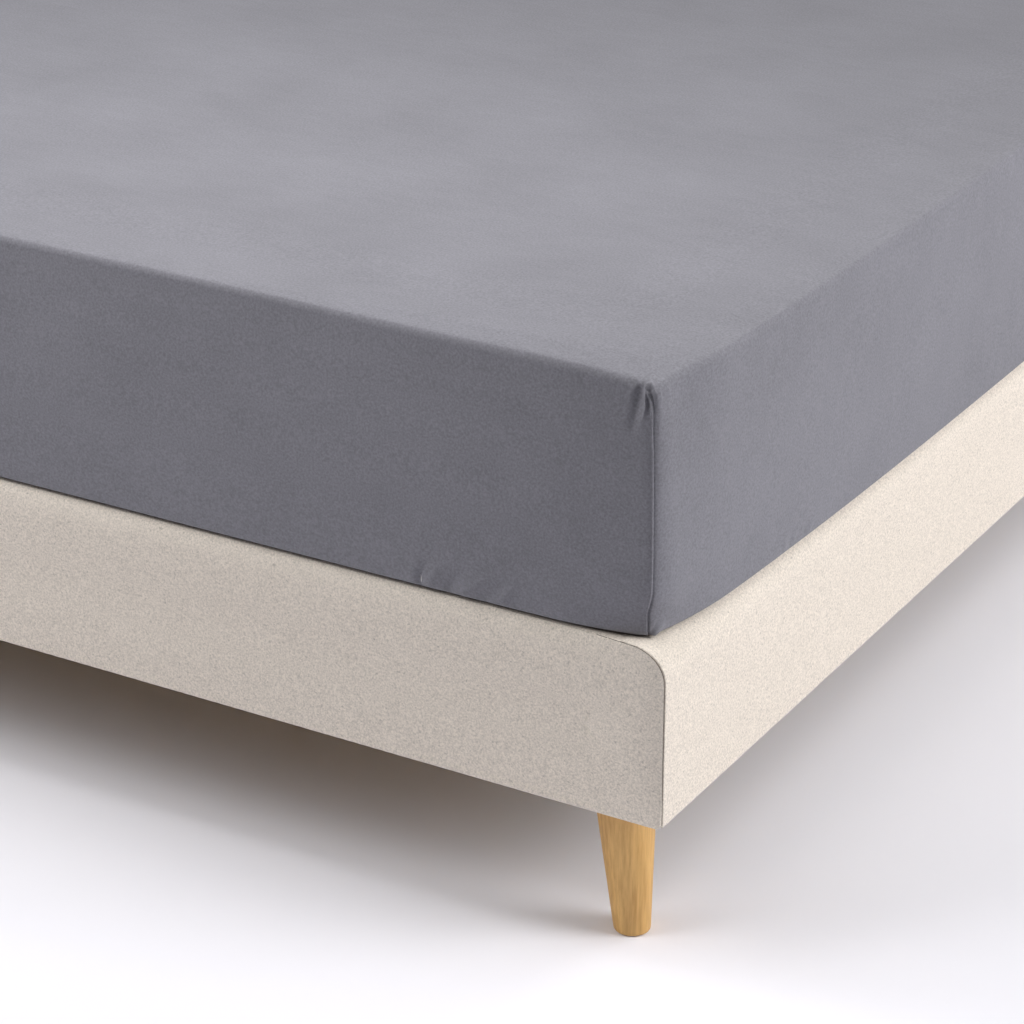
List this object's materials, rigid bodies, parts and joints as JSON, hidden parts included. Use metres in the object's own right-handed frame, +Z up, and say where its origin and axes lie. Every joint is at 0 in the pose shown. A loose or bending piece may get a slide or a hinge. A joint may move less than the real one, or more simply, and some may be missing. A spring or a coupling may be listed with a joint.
{
  "type": "fitted sheet on a mattress and upholstered bed base",
  "caption": "Grey fitted sheet with sewn corners, stretched over a thick mattress on a fabric-covered bed base with tapered oak legs.",
  "frame": {"origin": "centre of the bed's outline on the floor", "axes": "+X to the bed's right seen from the foot end, +Y towards the head end, +Z up"},
  "size_m": [1.6396, 2.02, 0.5899],
  "materials": {
    "sheet": "plain, tightly woven cotton, matt, soft sheen at the edges",
    "ticking": "plain off-white mattress ticking",
    "upholstery": "off-white to beige nubbly flat weave",
    "oak": "light oak, satin lacquer, grain along the leg",
    "pine": "plain planed softwood"
  },
  "bodies": {
    "root": {"fitted_sheet": "sheet", "mattress": "ticking", "side_rail_right": "upholstery", "side_rail_left": "upholstery", "foot_rail": "upholstery", "head_rail": "upholstery", "leg_foot_right": "oak", "leg_head_right": "oak", "leg_head_left": "oak", "leg_foot_left": "oak", "block_foot_right": "pine", "block_head_right": "pine", "block_head_left": "pine", "block_foot_left": "pine", "batten_right": "pine", "batten_left": "pine", "centre_beam": "pine", "centre_leg": "pine", "slat_1": "pine", "slat_2": "pine", "slat_3": "pine", "slat_4": "pine", "slat_5": "pine", "slat_6": "pine", "slat_7": "pine", "slat_8": "pine", "slat_9": "pine", "slat_10": "pine", "slat_11": "pine", "slat_12": "pine", "slat_13": "pine"}
  },
  "joints": []
}
